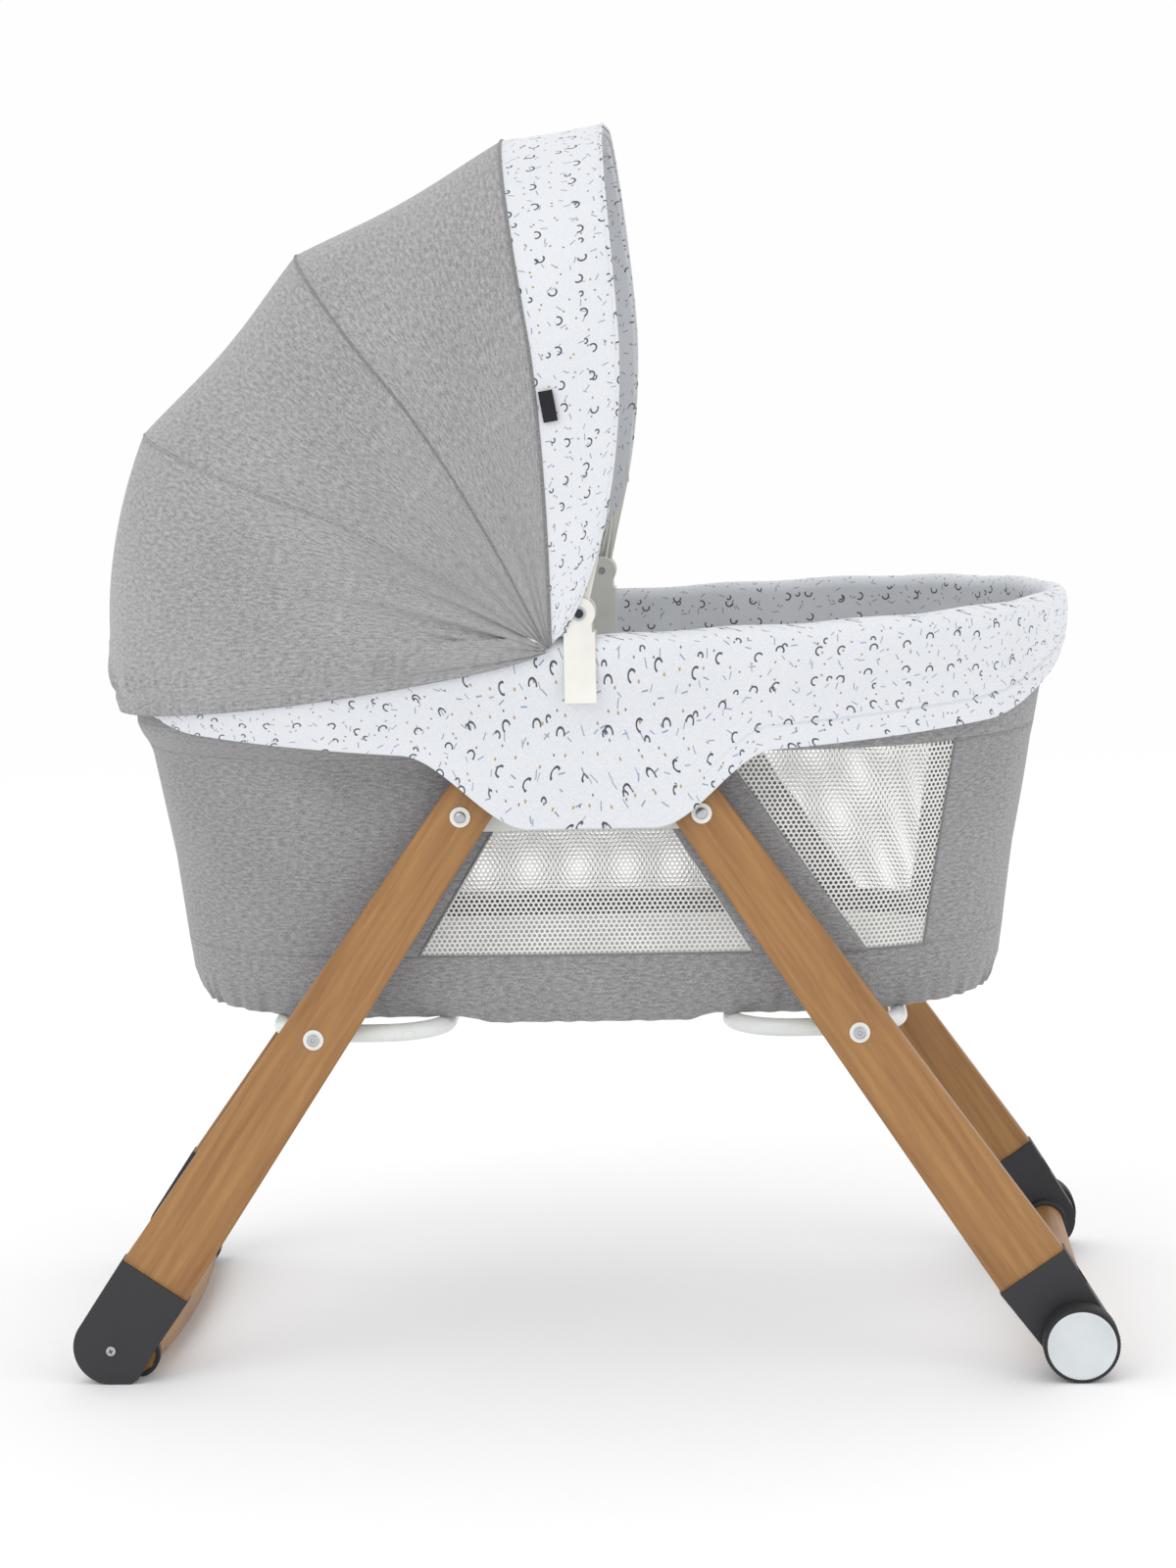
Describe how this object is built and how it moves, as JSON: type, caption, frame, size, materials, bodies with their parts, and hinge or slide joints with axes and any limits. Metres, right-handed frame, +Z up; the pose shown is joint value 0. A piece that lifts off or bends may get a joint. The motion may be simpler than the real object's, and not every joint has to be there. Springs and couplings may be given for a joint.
{
  "type": "bassinet on stand",
  "caption": "Oval fabric baby bassinet with mesh sides and a folding hood, on a splayed wooden leg stand with two foot-end wheels.",
  "frame": {"origin": "on the floor, half way between the feet, in the object's mid plane", "axes": "+X to the foot end with the wheels, +Y to the far side (the object is its own mirror image across Y), +Z up"},
  "size_m": [0.932, 0.5326, 1.1125],
  "materials": {
    "beech": "clear satin lacquer",
    "charcoal_plastic": "moulded, fine texture",
    "white_steel": "powder coat",
    "zinc": "zinc plated",
    "hoop_wire": "powder coated wire",
    "ivory_plastic": "moulded, satin",
    "tyre": "ribbed soft rubber",
    "wheel_cap": "satin disc",
    "board": "raw fibreboard",
    "mattress_cloth": "quilted cotton",
    "heather_cloth": "grey heather woven polyester",
    "mesh": "white open knit mesh",
    "printed_cotton": null,
    "tag": "black ribbon, blank"
  },
  "bodies": {
    "stand": {"leg_head_near": "beech", "leg_head_far": "beech", "leg_foot_near": "beech", "leg_foot_far": "beech", "foot_shoe_near": "charcoal_plastic", "foot_shoe_far": "charcoal_plastic", "wheel_housing_near": "charcoal_plastic", "wheel_housing_far": "charcoal_plastic", "head_stretcher": "beech", "foot_stretcher": "beech", "side_bracket_near": "white_steel", "side_bracket_far": "white_steel", "rim_tube": "white_steel", "base_loop_head": "white_steel", "base_loop_foot": "white_steel", "upper_bolts": "zinc", "lower_bolts": "zinc", "leg_washers": "ivory_plastic", "leg_nuts": "zinc", "shoe_screws": "zinc", "axle_near": "zinc", "axle_far": "zinc", "base_board": "board", "mattress": "mattress_cloth", "basket_fabric": "heather_cloth", "mesh_windows_near": "mesh", "mesh_windows_far": "mesh", "printed_cover": "printed_cotton", "hood_clip_near": "ivory_plastic", "hood_clip_far": "ivory_plastic", "pivot_screws": "zinc"},
    "wheel_near": {"wheel_core_near": "charcoal_plastic", "tyre_near": "tyre", "wheel_cap_near": "wheel_cap"},
    "wheel_far": {"wheel_core_far": "charcoal_plastic", "tyre_far": "tyre", "wheel_cap_far": "wheel_cap"},
    "hood_rear": {"rear_rib": "hoop_wire", "hood_rear_panel": "heather_cloth"},
    "hood_middle": {"middle_rib": "hoop_wire", "hood_middle_panel": "heather_cloth"},
    "hood_front": {"front_rib": "hoop_wire", "hood_front_panel": "heather_cloth", "side_tag": "tag"},
    "hood_lead": {"lead_hoop": "hoop_wire", "hood_arm_near": "ivory_plastic", "hood_arm_far": "ivory_plastic", "hood_band": "printed_cotton"}
  },
  "joints": [
    {"name": "wheel_near_spin", "type": "hinge", "parent": "stand", "child": "wheel_near", "pos_m": [0.432, -0.248, 0.034], "axis": [0, 1, 0], "continuous": true},
    {"name": "wheel_far_spin", "type": "hinge", "parent": "stand", "child": "wheel_far", "pos_m": [0.432, 0.248, 0.034], "axis": [0, 1, 0], "continuous": true},
    {"name": "hood_fold", "type": "hinge", "parent": "stand", "child": "hood_rear", "pos_m": [0.004, 0, 0.688], "axis": [0, -1, 0], "range_deg": [0, 19], "deforming": ["hood_rear_panel"]},
    {"name": "middle_fold", "type": "hinge", "parent": "hood_rear", "child": "hood_middle", "pos_m": [0.004, 0, 0.688], "axis": [0, -1, 0], "range_deg": [0, 24.5], "deforming": ["hood_middle_panel"]},
    {"name": "front_fold", "type": "hinge", "parent": "hood_middle", "child": "hood_front", "pos_m": [0.004, 0, 0.688], "axis": [0, -1, 0], "range_deg": [0, 25], "deforming": ["hood_front_panel"]},
    {"name": "lead_fold", "type": "hinge", "parent": "hood_front", "child": "hood_lead", "pos_m": [0.004, 0, 0.688], "axis": [0, -1, 0], "range_deg": [0, 7.5], "deforming": ["hood_band"]}
  ],
  "couplings": [
    {"joint": "middle_fold", "follows": "hood_fold", "ratio": 1.2632},
    {"joint": "front_fold", "follows": "hood_fold", "ratio": 1.2895},
    {"joint": "lead_fold", "follows": "hood_fold", "ratio": 0.36842}
  ]
}
